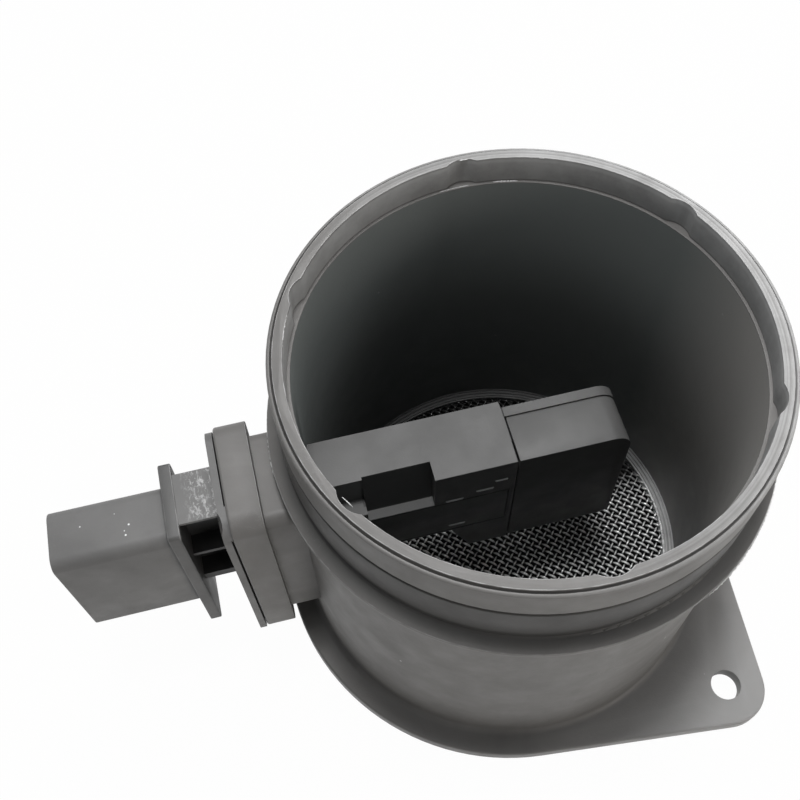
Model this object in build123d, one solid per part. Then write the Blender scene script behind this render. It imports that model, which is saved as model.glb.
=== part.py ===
from build123d import *
import math
import os

# A mass airflow sensor: a moulded flow tube with a hose neck on top and a two-eared flange
# below, a woven screen at the inlet, and a plug-in probe with its connector on the -X side.
# Millimetres. Z = 0 is the flange's underside, and the Z axis is the axis of the tube.

# How far a cut runs past a face, and a form into the one it joins
overrun = 1.0

# Flow tube
total_height = 84.0
bore_radius = 39.8
barrel_wall = 3.9
neck_wall = 3.4
neck_height = 19.8
neck_fillet = 0.6
neck_waist = 0.5
neck_waist_height = 3.0
neck_waist_round = 5.0
shoulder_share = 0.85
neck_groove_drop = 8.1
neck_groove_depth = 0.8
neck_groove_half = 0.5
rim_ledge = 0.6
rim_bore_depth = 6.0
rim_land = 1.8
rim_step = 0.4
rim_groove_width = 0.4
rim_groove_depth = 0.6
collar_overhang = 1.9
collar_edge = 1.1
collar_fall = 0.5

# Scoops in the inner edge of the rim
notch_count = 6
notch_first_angle = 30.5
notch_reach = 0.9
notch_scoop_radius = 4.5

# Flange and its two ears
flange_thickness = 3.5
flange_rim = 5.0
flange_fillet = 1.4
flange_edge_break = 0.5
ear_offset = 9.1
ear_radius = 8.2
ear_hole_radius = 3.1
ear_angle = -50.4

# Inlet screen, its retaining ring and the flange seal
screen_seat_height = 2.4
ring_lip = 2.4
ring_bite = 1.2
ring_foot = 0.2
ring_clearance = 0.15
ring_line_count = 3
ring_line_depth = 0.3
ring_line_share = 0.5
screen_rows = 11
screen_web = 0.4
screen_ridge = 0.25
screen_grip = 1.4
screen_edge_room = 0.1
screen_angle = -32.0
screen_gap_share = 0.72
screen_border = 0.45
seal_setback = 1.4
seal_width = 2.4
seal_depth = 2.0
seal_edge_round = 0.4

# Boss and pad that carry the insert
insert_height = 37.0
boss_reach = 5.15
boss_wall_y = 2.55
boss_wall_z = 4.0
boss_corner = 2.5
pad_thickness = 6.0
pad_margin_y = 1.75
pad_margin_z = 4.4
pad_drop = 0.55
pad_corner = 4.0
pad_edge_break = 0.5

# Insert plate, neck, collar and connector shroud
plate_thickness = 1.3
plate_gap = 0.3
plate_drop = 1.2
plate_narrower = 0.3
plate_taller = 0.1
seat_boss_radius = 3.2
stem_length = 7.35
stem_width = 10.0
stem_top_drop = 0.2
stem_margin = 0.5
stem_pocket_depth = 3.8
stem_top_wall = 0.7
stem_lip = 2.2
stem_rib = 1.0
stem_rib_share = 0.53
guard_thickness = 2.3
guard_top_margin = 4.4
guard_bottom_margin = 7.2
guard_side_margin = 1.7
guard_corner = 0.8
shroud_length = 21.7
socket_floor = 2.2
shroud_width = 12.0
shroud_height = 31.6
shroud_rise = 0.3
shroud_wall = 1.2
shroud_corner = 2.5
latch_width = 7.0
latch_rise = 1.4
latch_length = 4.6
latch_setback = 4.4

# Probe blade
blade_reach = 20.9
blade_thickness = 13.2
blade_height = 34.8
tip_length = 22.4
tip_setback = 1.6
tip_lift = 0.7
tip_spine = 2.0
tip_spine_rise = 0.4
tip_round = 4.0
root_margin = 0.3
root_clearance = 0.15
root_corner = 2.0
root_step = 1.0
ring_groove_depth = 1.1
ring_groove_width = 1.9
ring_groove_setback = 2.6

# Cut-out in the top near edge of the blade
ledge_from_root = 8.4
ledge_from_tip = 15.9
root_post_rise = 3.0
root_post_proud = 0.6
spine_setback_top = 4.1
spine_setback_low = 2.0

# Electronics bay
bay_from_root = 5.3
bay_end_wall = 1.7
bay_terminal_margin = 0.3
bay_floor_wall = 3.0
bay_top_wall = 1.0
bay_bottom_wall = 1.4
cover_thickness = 1.2
cover_lap = 0.6
cover_skirt = 1.2
cover_skirt_wall = 0.9
cover_clearance = 0.15
base_plate_thickness = 1.0
board_thickness = 0.6
board_margin = 0.7
chip_size = 7.0
chip_thickness = 0.9
chip_edge = 0.2
capacitor_count = 3
capacitor_length = 2.0
capacitor_width = 1.25
capacitor_height = 0.9
shelf_length = 5.3
shelf_margin = 0.6

# Bypass channel in the tip
cap_wall = 1.2
cap_clearance = 0.1
cap_joint = 0.3
channel_depth = 3.8
divider_width = 6.4
divider_gap = 6.0
window_size = 3.8
window_inset = 1.4
coring_margin = 4.0
coring_rib = 2.2
coring_depth = 1.0
tongue_length = 5.0
tongue_width = 6.0
tongue_thickness = 0.8
tongue_gap = 1.4
sensor_chip_size = 2.6
sensor_chip_inset = 0.5
sensor_chip_thickness = 0.35

# Air temperature bead in a deep recess in the lower edge of the blade
bead_recess_depth = 9.7
bead_recess_from_root = 8.0
bead_recess_length = 16.9
bead_recess_slope = 4.2
bead_radius = 0.8
bead_stretch = 1.5
bead_lead_hold = 1.0
bead_lead_radius = 0.25

# Terminals, bond wires and screws
terminal_count = 5
terminal_pitch = 2.6
terminal_width = 0.8
terminal_thickness = 0.6
terminal_nose = 0.18
terminal_drop = 0.3
terminal_reach = 11.0
terminal_inner_reach = 2.6
terminal_plate_gap = 0.5
wire_radius = 0.15
wire_rise = 1.1
wire_landing = 1.6
wire_start = 0.6
wire_fan_share = 0.7
wire_bend = 0.65
screw_radius = 1.25
screw_head_radius = 2.7
screw_grip = 4.6
screw_end_room = 0.4
screw_clearance = 0.3
screw_head_land = 0.2
screw_corner_inset = 3.5
screw_socket_radius = 1.1
screw_socket_depth = 0.8

# Radii and heights of the tube
barrel_radius = bore_radius + barrel_wall
neck_radius = bore_radius + neck_wall
rim_bore_radius = bore_radius + rim_ledge
rim_land_radius = rim_bore_radius + rim_land
collar_radius = barrel_radius + collar_overhang
collar_top = total_height - neck_height
flange_radius = barrel_radius + flange_rim
bolt_circle_radius = flange_radius + ear_offset
ring_inner_radius = bore_radius - ring_lip
ring_outer_radius = bore_radius + ring_bite
screen_radius = ring_inner_radius + screen_grip
screen_thickness = screen_web + 2 * screen_ridge
screen_middle = (ring_foot + screen_seat_height) / 2
seal_inner_radius = ring_outer_radius + seal_setback
seal_outer_radius = seal_inner_radius + seal_width

# Section of the blade, its root and the opening it passes through
half_blade = blade_thickness / 2
blade_bottom = insert_height - blade_height / 2
blade_top = insert_height + blade_height / 2
half_root = half_blade + root_margin
root_height = blade_height + 2 * root_margin
half_opening = half_root + root_clearance
opening_height = root_height + 2 * root_clearance

# Boss, pad and plate along the X axis
pad_back_x = -(barrel_radius + boss_reach)
pad_face_x = pad_back_x - pad_thickness
plate_inner_x = pad_face_x - plate_gap
plate_outer_x = plate_inner_x - plate_thickness
root_end_x = -(bore_radius - root_step)
boss_width = 2 * (half_opening + boss_wall_y)
boss_height = opening_height + 2 * boss_wall_z
pad_width = boss_width + 2 * pad_margin_y
pad_height = boss_height + 2 * pad_margin_z
pad_middle = insert_height - pad_drop
plate_middle = pad_middle - plate_drop
screw_y = pad_width / 2 - screw_corner_inset
screw_high = pad_middle + pad_height / 2 - screw_corner_inset
screw_low = pad_middle - pad_height / 2 + screw_corner_inset
screw_places = ((-screw_y, screw_high), (screw_y, screw_low))

# Stem, guard and shroud along the X axis
guard_inner_x = plate_outer_x - stem_length
guard_outer_x = guard_inner_x - guard_thickness
shroud_mouth_x = guard_outer_x - shroud_length
socket_floor_x = guard_outer_x - socket_floor
shroud_middle = insert_height + shroud_rise
guard_top = shroud_middle + shroud_height / 2 + guard_top_margin
guard_bottom = shroud_middle - shroud_height / 2 - guard_bottom_margin
terminal_middle = insert_height - terminal_drop
terminal_row = (terminal_count - 1) * terminal_pitch + terminal_width
stem_bottom = terminal_middle - terminal_row / 2 - stem_margin
stem_top = guard_top - stem_top_drop
stem_height = stem_top - stem_bottom

# Tip of the blade and the electronics bay
cap_start_x = blade_reach - tip_length
tip_bottom = blade_bottom + tip_lift
tip_back_y = half_blade - tip_setback
cap_back_y = tip_back_y - tip_spine
channel_floor_y = -half_blade + cap_wall + channel_depth
bay_end_x = cap_start_x - bay_end_wall
bay_begin_x = root_end_x + bay_from_root
bay_top = terminal_middle + terminal_row / 2 + bay_terminal_margin
bay_bottom = blade_bottom + bead_recess_depth + bay_bottom_wall
ledge_z = bay_top + bay_top_wall
ledge_begin_x = root_end_x + ledge_from_root
ledge_end_x = cap_start_x - ledge_from_tip
bay_floor_y = half_blade - bay_floor_wall
cover_inner_y = -half_blade + cover_thickness
shelf_begin_x = bay_end_x - shelf_length
plate_near_y = bay_floor_y - base_plate_thickness
board_near_y = plate_near_y - board_thickness
plate_begin_x = bay_begin_x + terminal_inner_reach + terminal_plate_gap
plate_end_x = shelf_begin_x - board_margin / 2
board_begin_x = plate_begin_x + board_margin
board_end_x = plate_end_x - board_margin
board_bottom = bay_bottom + 2 * board_margin
board_top = bay_top - 2 * board_margin
board_middle = (board_bottom + board_top) / 2
tongue_far_y = -half_blade + cap_wall + tongue_gap + tongue_thickness
tongue_near_y = tongue_far_y - tongue_thickness

# Recess for the temperature bead, whose end towards the tip slopes out to its foot
recess_begin_x = root_end_x + bead_recess_from_root
recess_end_x = recess_begin_x + bead_recess_length
recess_top = blade_bottom + bead_recess_depth
bead_z = blade_bottom + bead_recess_depth / 2
lead_begin_x = recess_begin_x - bead_lead_hold
lead_end_x = recess_end_x + bead_recess_slope / 2 + bead_lead_hold


def block(x0, x1, y0, y1, z0, z1):
    """A box between two corners."""
    middle = Pos((x0 + x1) / 2, (y0 + y1) / 2, (z0 + z1) / 2)
    return middle * Box(abs(x1 - x0), abs(y1 - y0), abs(z1 - z0))


def slab_along_x(x0, x1, width, height, middle_z, corner):
    """A rounded rectangle in the YZ plane, drawn out from x0 to x1."""
    plane = Plane(origin=(x0, 0, middle_z), x_dir=(0, 1, 0), z_dir=(1, 0, 0))
    return extrude(plane * RectangleRounded(width, height, corner), amount=x1 - x0)


def turned(points):
    """A solid turned about Z from a closed outline of radius and height."""
    outline = Polyline(*[(r, 0, z) for r, z in points], close=True)
    return revolve(make_face(outline), Axis.Z)


def ring_solid(inner, outer, bottom, top):
    """A plain ring about the tube axis."""
    return turned(((inner, bottom), (outer, bottom), (outer, top), (inner, top)))


def edges_at(solid, axis, place, tolerance=0.01):
    """The edges whose middle lies at one place along an axis."""
    return solid.edges().filter_by_position(axis, place - tolerance, place + tolerance)


def tube_outside():
    """The outer form of the tube as one turned profile: rim, hose neck, collar and barrel."""
    shoulder_z = total_height - rim_step
    shoulder_r = rim_land_radius + rim_groove_width
    shoulder = neck_radius - shoulder_r
    groove_z = total_height - neck_groove_drop
    waist_z = collar_top + neck_waist_height
    points = [
        (0, 0, 0),
        (barrel_radius, 0, 0),
        (barrel_radius, 0, collar_top - collar_fall - collar_edge),
        (collar_radius, 0, collar_top - collar_fall - collar_edge),
        (collar_radius, 0, collar_top - collar_fall),
        (neck_radius - neck_waist, 0, collar_top),
        (neck_radius, 0, waist_z),
        (neck_radius, 0, groove_z - neck_groove_half),
        (neck_radius - neck_groove_depth, 0, groove_z),
        (neck_radius, 0, groove_z + neck_groove_half),
        (neck_radius, 0, shoulder_z),
        (shoulder_r, 0, shoulder_z),
        (rim_land_radius + rim_groove_width / 2, 0, shoulder_z - rim_groove_depth),
        (rim_land_radius, 0, shoulder_z),
        (rim_land_radius, 0, total_height),
        (0, 0, total_height),
    ]
    face = make_face(Polyline(*points, close=True))
    concave = face.vertices().sort_by_distance((neck_radius - neck_waist, 0, collar_top))[0]
    face = fillet(concave, neck_fillet)
    waist = face.vertices().sort_by_distance((neck_radius, 0, waist_z))[0]
    face = fillet(waist, neck_waist_round)
    edge = face.vertices().sort_by_distance((neck_radius, 0, shoulder_z))[0]
    face = fillet(edge, shoulder * shoulder_share)
    return revolve(face, Axis.Z)


def ear_place(side):
    """The centre of one of the two ears on the bolt circle."""
    angle = math.radians(ear_angle + 180 * side)
    return Pos(bolt_circle_radius * math.cos(angle), bolt_circle_radius * math.sin(angle))


def flange_plate():
    """A disc and two ears with straight tangents between them."""
    disc = Circle(flange_radius)
    ears = [ear_place(side) * Circle(ear_radius) for side in (0, 1)]
    outline = make_hull((disc + ears).edges())
    plate = extrude(outline, amount=flange_thickness)
    return fillet(plate.edges().group_by(Axis.Z)[-1], flange_edge_break)


def flange_root():
    """The turned fillet between the barrel and the flange."""
    top = flange_thickness
    outer = barrel_radius + flange_fillet
    inner = barrel_radius - overrun
    head = top + flange_fillet
    low = top - overrun
    bend = flange_fillet * (1 - math.sqrt(0.5))
    arc = ThreePointArc(
        (outer, 0, top), (barrel_radius + bend, 0, top + bend), (barrel_radius, 0, head)
    )
    rest = Polyline(
        (barrel_radius, 0, head), (inner, 0, head), (inner, 0, low), (outer, 0, low), (outer, 0, top)
    )
    return revolve(make_face(arc + rest), Axis.Z)


def tube_inside():
    """The air path: screen recess, bore and the slightly wider rim."""
    return turned((
        (0, -overrun),
        (ring_outer_radius + ring_clearance, -overrun),
        (ring_outer_radius + ring_clearance, screen_seat_height),
        (bore_radius, screen_seat_height),
        (bore_radius, total_height - rim_bore_depth),
        (rim_bore_radius, total_height - rim_bore_depth),
        (rim_bore_radius, total_height + overrun),
        (0, total_height + overrun),
    ))


def rim_notches():
    """Scoops round the inner edge of the rim, down to its ledge."""
    reach = rim_bore_radius + notch_reach - notch_scoop_radius
    low = total_height - rim_bore_depth
    depth = rim_bore_depth + overrun
    scoop = extrude(Plane.XY.offset(low) * Circle(notch_scoop_radius), amount=depth)
    scoops = []
    for index in range(notch_count):
        turn = notch_first_angle + index * 360 / notch_count
        scoops.append(Rot(0, 0, turn) * Pos(reach, 0, 0) * scoop)
    return scoops


def insert_mount():
    """Boss on the barrel and the thicker pad that the insert bolts to."""
    inside_x = -(bore_radius + barrel_wall / 2)
    boss = slab_along_x(pad_back_x, inside_x, boss_width, boss_height, insert_height, boss_corner)
    pad = slab_along_x(pad_face_x, pad_back_x, pad_width, pad_height, pad_middle, pad_corner)
    pad = fillet(edges_at(pad, Axis.X, pad_face_x), pad_edge_break)
    return boss + pad


def insert_opening():
    """The hole through pad, boss and barrel wall for the root of the blade."""
    inside_x = -bore_radius / 2
    opening = slab_along_x(
        pad_face_x - overrun, inside_x, 2 * half_opening, opening_height, insert_height, root_corner
    )
    return opening


def screw_pilots():
    """Blind holes in the pad for the two screws."""
    depth = screw_grip + screw_end_room
    pilot = Cylinder(screw_radius, depth, align=(Align.CENTER, Align.CENTER, Align.MIN))
    return [Pos(pad_face_x, y, z) * Rot(0, 90, 0) * pilot for y, z in screw_places]


def make_tube_housing():
    housing = tube_outside() + flange_plate() + flange_root() + insert_mount()
    housing -= tube_inside()
    housing -= insert_opening()
    housing -= rim_notches()
    housing -= screw_pilots()
    hole = Cylinder(ear_hole_radius, 4 * flange_thickness)
    housing -= [ear_place(side) * hole for side in (0, 1)]
    housing -= ring_solid(seal_inner_radius, seal_outer_radius, -overrun, seal_depth)
    return housing


def make_screen_ring():
    """The retaining ring, with a slot for the screen's edge and fine lines round its top face."""
    slot_low = screen_middle - screen_thickness / 2
    slot_high = screen_middle + screen_thickness / 2
    body = ring_solid(ring_inner_radius, ring_outer_radius, ring_foot, screen_seat_height)
    slot_end = screen_radius + screen_edge_room
    body -= ring_solid(ring_inner_radius - overrun, slot_end, slot_low, slot_high)
    pitch = ring_lip / ring_line_count
    width = pitch * ring_line_share
    for index in range(ring_line_count):
        middle = ring_inner_radius + pitch * (index + 0.5)
        body -= turned((
            (middle - width / 2, screen_seat_height),
            (middle, screen_seat_height - ring_line_depth),
            (middle + width / 2, screen_seat_height),
        ))
    return body


def make_inlet_screen():
    """The woven screen as one wall with a field of gaps and crossing ridges."""
    pitch = 2 * ring_inner_radius / (screen_rows + 2 * screen_border)
    gap = pitch * screen_gap_share
    bar = pitch - gap
    low = screen_middle - screen_web / 2
    disc = Circle(screen_radius)
    centres = []
    reach = screen_rows // 2
    for column in range(-reach, reach + 1):
        for row in range(-reach, reach + 1):
            x = column * pitch
            y = row * pitch
            if math.hypot(x, y) + gap / math.sqrt(2) < ring_inner_radius:
                centres.append(Pos(x, y))
    gaps = [place * Rectangle(gap, gap) for place in centres]
    web = extrude(Pos(0, 0, low) * (disc - gaps), amount=screen_web)
    ridges_up = []
    ridges_down = []
    for line in range(-reach, reach + 2):
        offset = (line - 0.5) * pitch
        length = 2 * math.sqrt(screen_radius ** 2 - offset ** 2) - 2 * bar
        lift = (screen_web + screen_ridge) / 2
        ridges_up.append(Pos(offset, 0, screen_middle + lift) * Box(bar, length, screen_ridge))
        ridges_down.append(Pos(0, offset, screen_middle - lift) * Box(length, bar, screen_ridge))
    return Rot(0, 0, screen_angle) * (web + ridges_up + ridges_down)


def make_flange_seal():
    """The rubber ring that lies in the flange's underside, flush with it."""
    seal = ring_solid(seal_inner_radius, seal_outer_radius, 0, seal_depth)
    return fillet(edges_at(seal, Axis.Z, seal_depth), seal_edge_round)


def insert_plate():
    """The thin plate over the pad, with two seats round its screws."""
    width = pad_width - plate_narrower
    height = pad_height + plate_taller
    plate = slab_along_x(plate_outer_x, plate_inner_x, width, height, plate_middle, pad_corner)
    between = slab_along_x(plate_inner_x, pad_face_x, width, height, plate_middle, pad_corner)
    disc = Cylinder(seat_boss_radius, plate_gap, align=(Align.CENTER, Align.CENTER, Align.MIN))
    seats = [Pos(plate_inner_x, y, z) * Rot(0, 90, 0) * disc for y, z in screw_places]
    seats = [between & seat for seat in seats]
    return plate + seats


def insert_root():
    """The part of the insert that fills the opening, with a groove for its seal."""
    root = slab_along_x(
        plate_inner_x, root_end_x, 2 * half_root, root_height, insert_height, root_corner
    )
    groove_x = pad_face_x + ring_groove_setback
    outer = slab_along_x(
        groove_x, groove_x + ring_groove_width, 2 * (half_root + overrun),
        root_height + 2 * overrun, insert_height, root_corner
    )
    return root - (outer - groove_floor(groove_x, groove_x + ring_groove_width))


def groove_floor(x0, x1):
    """The core that is left inside the seal's groove."""
    width = 2 * (half_root - ring_groove_depth)
    height = root_height - 2 * ring_groove_depth
    return slab_along_x(x0, x1, width, height, insert_height, root_corner)


def stem_and_guard():
    """The pocketed stem and the flat guard plate behind the connector."""
    stem = block(
        guard_inner_x, plate_outer_x, -stem_width / 2, stem_width / 2, stem_bottom, stem_top
    )
    half_guard = shroud_width / 2 + guard_side_margin
    guard = block(guard_outer_x, guard_inner_x, -half_guard, half_guard, guard_bottom, guard_top)
    guard = fillet(guard.edges().filter_by(Axis.X), guard_corner)
    rib_z = stem_top - stem_height * stem_rib_share
    spans = (
        (stem_bottom + stem_lip, rib_z - stem_rib / 2),
        (rib_z + stem_rib / 2, stem_top - stem_top_wall),
    )
    for side in (-1, 1):
        for low, high in spans:
            near = side * (stem_width / 2 + overrun)
            deep = side * (stem_width / 2 - stem_pocket_depth)
            stem -= block(guard_inner_x, plate_outer_x, near, deep, low, high)
    return stem + guard


def shroud():
    """The connector shroud: a rounded box, open at its mouth, with a latch ramp behind."""
    outer = slab_along_x(
        shroud_mouth_x, guard_outer_x, shroud_width, shroud_height, shroud_middle, shroud_corner
    )
    inner = slab_along_x(
        shroud_mouth_x - overrun, socket_floor_x, shroud_width - 2 * shroud_wall,
        shroud_height - 2 * shroud_wall, shroud_middle, shroud_corner - shroud_wall
    )
    back = shroud_width / 2 - shroud_wall / 2
    crest = shroud_width / 2 + latch_rise
    start_x = shroud_mouth_x + latch_setback
    end_x = start_x + latch_length
    ramp = make_face(Polyline((start_x, back, 0), (end_x, back, 0), (end_x, crest, 0), close=True))
    latch = Pos(0, 0, shroud_middle - latch_width / 2) * extrude(ramp, amount=latch_width)
    return outer - inner + latch


def blade_outline(x0, x1, z0, z1, round_high, round_low):
    """An outline in the XZ plane with its two corners at x1 rounded."""
    plane = Plane.XZ
    sketch = plane * Pos((x0 + x1) / 2, (z0 + z1) / 2) * Rectangle(x1 - x0, z1 - z0)
    high = sketch.vertices().sort_by_distance((x1, 0, z1))[0]
    sketch = fillet(high, round_high)
    low = sketch.vertices().sort_by_distance((x1, 0, z0))[0]
    return fillet(low, round_low)


def between_y(sketch, y_near, y_far):
    """Draws out an XZ outline between two planes across the blade."""
    return Pos(0, y_far, 0) * extrude(sketch, amount=y_far - y_near)


def blade_middle():
    """The thick middle of the blade with its cut-out, bay, rebate and sensor shelf."""
    body = block(root_end_x, cap_start_x, -half_blade, half_blade, blade_bottom, blade_top)
    body -= blade_cutout()
    near = -half_blade - overrun
    body -= block(bay_begin_x, bay_end_x, near, bay_floor_y, bay_bottom, bay_top)
    body -= cover_rebate()
    body += sensor_shelf()
    body -= bead_recess()
    return body


def blade_cutout():
    """The pocket along the blade's top near edge, with a sloping back wall."""
    near = -half_blade - overrun
    top = blade_top + overrun
    back_low = -half_blade + spine_setback_low
    back_high = -half_blade + spine_setback_top
    section = Polyline(
        (ledge_begin_x, near, ledge_z),
        (ledge_begin_x, back_low, ledge_z),
        (ledge_begin_x, back_high, blade_top),
        (ledge_begin_x, back_high, top),
        (ledge_begin_x, near, top),
        close=True,
    )
    pocket = extrude(make_face(section), amount=ledge_end_x - ledge_begin_x, dir=(1, 0, 0))
    post_y = back_high - root_post_proud
    low = ledge_z + root_post_rise
    step = block(root_end_x - overrun, ledge_begin_x, near, post_y, low, top)
    return pocket + step


def cover_rebate():
    """The seat round the bay that the electronics cover drops into."""
    return block(
        bay_begin_x - cover_lap, bay_end_x + cover_lap, -half_blade - overrun, cover_inner_y,
        bay_bottom - cover_lap, bay_top + cover_lap
    )


def sensor_shelf():
    """The step in the bay that carries the sensor's tongue."""
    half = tongue_width / 2 + shelf_margin
    return block(
        shelf_begin_x, bay_end_x + overrun, tongue_far_y, bay_floor_y + overrun,
        insert_height - half, insert_height + half
    )


def bead_recess():
    """The recess in the lower edge, open to the air, for the temperature bead."""
    low = blade_bottom - overrun
    slope = bead_recess_slope * (recess_top - low) / bead_recess_depth
    outline = make_face(Polyline(
        (recess_begin_x, half_blade + overrun, low),
        (recess_begin_x, half_blade + overrun, recess_top),
        (recess_end_x, half_blade + overrun, recess_top),
        (recess_end_x + slope, half_blade + overrun, low),
        close=True,
    ))
    return extrude(outline, amount=blade_thickness + 2 * overrun, dir=(0, -1, 0))


def blade_tip():
    """The spine and core of the tip, with the channel's divider and outlet."""
    spine = between_y(
        blade_outline(cap_start_x, blade_reach, tip_bottom, blade_top + tip_spine_rise,
                      tip_round, tip_round / 2),
        cap_back_y, tip_back_y
    )
    inset = cap_wall + cap_clearance
    core = between_y(
        blade_outline(cap_start_x, blade_reach - inset, tip_bottom + inset, blade_top - inset,
                      tip_round - cap_wall, tip_round / 2),
        channel_floor_y, cap_back_y
    )
    return spine + core + channel_divider() - channel_outlet() - tip_corings()


def channel_divider():
    """The wall with a round end that turns the air through half a circle."""
    middle_x = cap_start_x + (tip_length - cap_wall) / 2
    half = divider_width / 2
    low = tip_bottom + cap_wall + cap_clearance
    high = blade_top - cap_wall - divider_gap - half
    stem = Plane.XZ * Pos(middle_x, (low + high) / 2) * Rectangle(divider_width, high - low)
    end = Plane.XZ * Pos(middle_x, high) * Circle(half)
    return between_y(stem + end, -half_blade + cap_wall, channel_floor_y + overrun)


def channel_outlet():
    """The hole where the air leaves the channel, through the far wall."""
    x0 = cap_start_x + window_inset
    z0 = tip_bottom + cap_wall + window_inset
    near = channel_floor_y - overrun
    return block(x0, x0 + window_size, near, half_blade, z0, z0 + window_size)


def tip_corings():
    """Shallow pockets in the far face of the tip."""
    middle_x = cap_start_x + (tip_length - cap_wall) / 2
    low = tip_bottom + coring_margin
    high = blade_top - coring_margin
    rib = coring_rib / 2
    outer = block(
        middle_x + rib, blade_reach - coring_margin, cap_back_y - coring_depth, half_blade,
        low, high
    )
    inner = block(
        cap_start_x + coring_rib, middle_x - rib, cap_back_y - coring_depth, half_blade,
        low + window_size + coring_rib, high
    )
    return outer + inner


def terminal_height(index):
    """The height of one terminal in its row."""
    return terminal_middle + (index - (terminal_count - 1) / 2) * terminal_pitch


def make_terminal(index):
    """A flat blade with a tapered nose, from the socket to the electronics bay."""
    z = terminal_height(index)
    half_t = terminal_thickness / 2
    half_w = terminal_width / 2
    nose_x = socket_floor_x - terminal_reach
    inner_x = bay_begin_x + terminal_inner_reach
    pin = block(nose_x, inner_x, -half_t, half_t, z - half_w, z + half_w)
    nose = edges_at(pin, Axis.X, nose_x)
    return chamfer(nose, terminal_nose)


def terminal_holes():
    """The moulding closes round each terminal."""
    x0 = socket_floor_x - overrun
    x1 = bay_begin_x + overrun
    half_t = terminal_thickness / 2
    half_w = terminal_width / 2
    holes = []
    for index in range(terminal_count):
        z = terminal_height(index)
        holes.append(block(x0, x1, -half_t, half_t, z - half_w, z + half_w))
    return holes


def make_insert_body():
    body = insert_plate() + insert_root() + stem_and_guard() + shroud()
    body += blade_middle()
    body += blade_tip()
    body -= terminal_holes()
    body -= tongue_slot()
    body -= screw_clearances()
    body -= bead_leads()
    return body


def screw_clearances():
    """Countersunk holes through the plate and its seats."""
    cuts = []
    for y, z in screw_places:
        hole = Cylinder(screw_radius + screw_clearance, 4 * plate_thickness)
        cuts.append(Pos(plate_outer_x, y, z) * Rot(0, 90, 0) * hole)
        cuts.append(screw_head(y, z))
    return cuts


def screw_head(y, z):
    """The cone of a countersunk head, flush with the plate."""
    depth = plate_thickness - screw_head_land
    cone = Cone(
        screw_head_radius, screw_head_radius - depth, depth,
        align=(Align.CENTER, Align.CENTER, Align.MIN)
    )
    return Pos(plate_outer_x, y, z) * Rot(0, 90, 0) * cone


def make_mounting_screws():
    """Two countersunk screws, one at each of two opposite corners of the plate."""
    screws = []
    length = plate_thickness + plate_gap + screw_grip
    socket = extrude(RegularPolygon(screw_socket_radius, 6), amount=screw_socket_depth)
    shank = Cylinder(screw_radius, length, align=(Align.CENTER, Align.CENTER, Align.MIN))
    for y, z in screw_places:
        place = Pos(plate_outer_x, y, z) * Rot(0, 90, 0)
        screws.append(screw_head(y, z) + place * shank - place * socket)
    return Compound(children=screws)


def make_insert_seal():
    """The seal between the root and its opening, as wide as its groove."""
    x0 = pad_face_x + ring_groove_setback
    x1 = x0 + ring_groove_width
    outer = slab_along_x(x0, x1, 2 * half_opening, opening_height, insert_height, root_corner)
    return outer - groove_floor(x0, x1)


def make_electronics_cover():
    """The lid over the bay, with a skirt that locates it inside."""
    gap = cover_clearance
    lid = block(
        bay_begin_x - cover_lap + gap, bay_end_x + cover_lap - gap, -half_blade, cover_inner_y,
        bay_bottom - cover_lap + gap, bay_top + cover_lap - gap
    )
    deep = cover_inner_y + cover_skirt
    outer = block(
        bay_begin_x + gap, bay_end_x - gap, cover_inner_y, deep, bay_bottom + gap, bay_top - gap
    )
    inset = gap + cover_skirt_wall
    inner = block(
        bay_begin_x + inset, bay_end_x - inset, cover_inner_y, deep,
        bay_bottom + inset, bay_top - inset
    )
    half = tongue_width / 2 + gap
    way = block(
        shelf_begin_x - gap, bay_end_x, tongue_near_y - gap, tongue_far_y,
        insert_height - half, insert_height + half
    )
    return lid + (outer - inner - way)


def make_bypass_cover():
    """The cap over the channel: one shell for the near side, top, tip and lower edge."""
    outer = between_y(
        blade_outline(cap_start_x + cap_joint, blade_reach, tip_bottom, blade_top,
                      tip_round, tip_round / 2),
        -half_blade, cap_back_y
    )
    inner = between_y(
        blade_outline(cap_start_x - overrun, blade_reach - cap_wall, tip_bottom + cap_wall,
                      blade_top - cap_wall, tip_round - cap_wall, tip_round / 2),
        -half_blade + cap_wall, cap_back_y + overrun
    )
    x1 = blade_reach - cap_wall - window_inset
    inlet = block(
        x1 - window_size, x1, -half_blade + cap_wall, channel_floor_y,
        tip_bottom - overrun, tip_bottom + cap_wall + overrun
    )
    return outer - inner - inlet


def tongue_slot():
    """The slot between bay and channel for the sensor's tongue."""
    half = tongue_width / 2
    return block(
        bay_end_x - overrun, cap_start_x + overrun, tongue_near_y, tongue_far_y,
        insert_height - half, insert_height + half
    )


def make_sensor_carrier():
    """The tongue that holds the sensor chip in the channel."""
    half = tongue_width / 2
    return block(
        shelf_begin_x, cap_start_x + tongue_length, tongue_near_y, tongue_far_y,
        insert_height - half, insert_height + half
    )


def make_sensor_chip():
    """The silicon chip on the tongue."""
    x1 = cap_start_x + tongue_length - sensor_chip_inset
    half = sensor_chip_size / 2
    return block(
        x1 - sensor_chip_size, x1, tongue_near_y - sensor_chip_thickness, tongue_near_y,
        insert_height - half, insert_height + half
    )


def make_base_plate():
    """The metal plate on the floor of the bay."""
    return block(
        plate_begin_x, plate_end_x, plate_near_y, bay_floor_y,
        bay_bottom + board_margin, bay_top - board_margin
    )


def make_circuit_board():
    """The ceramic board on the metal plate."""
    return block(
        board_begin_x, board_end_x, board_near_y, plate_near_y, board_bottom, board_top
    )


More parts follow.
